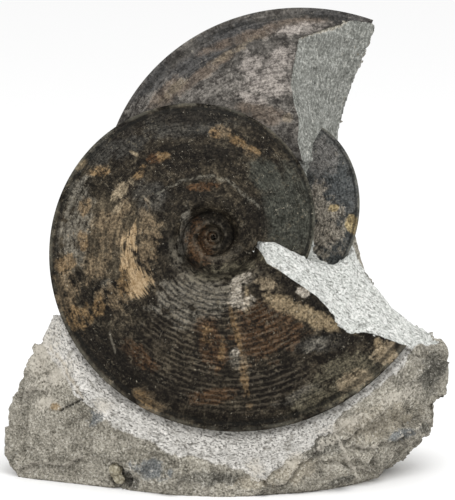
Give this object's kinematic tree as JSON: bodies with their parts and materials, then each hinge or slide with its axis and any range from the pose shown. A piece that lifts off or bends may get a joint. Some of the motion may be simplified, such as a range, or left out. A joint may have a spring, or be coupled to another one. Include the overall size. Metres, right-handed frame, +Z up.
{
  "type": "ammonite fossil",
  "caption": "Keeled ammonite fossils standing in a rough limestone block, one whole disc in front and broken ones behind it, on a flat foot.",
  "frame": {"origin": "on the flat foot the block rests on, in the middle of its width and near the middle of its depth", "axes": "+Z up from the flat foot, -Y towards the side that shows the whole shell, +X to the right as seen from there"},
  "size_m": [0.268, 0.1303, 0.2812],
  "materials": {
    "matrix_rock": "rough grey limestone, paler and pecked where it was worked",
    "main_ammonite": "polished mineral shell, dark brown with tan and grey patches",
    "rear_ammonite": "satin mineral shell, brown and grey",
    "side_ammonite": "satin mineral shell, dark grey",
    "small_fossil": "pale mineral"
  },
  "bodies": {
    "root": {"matrix_rock": "matrix_rock", "main_ammonite": "main_ammonite", "rear_ammonite": "rear_ammonite", "side_ammonite": "side_ammonite", "small_fossil": "small_fossil"}
  },
  "joints": []
}
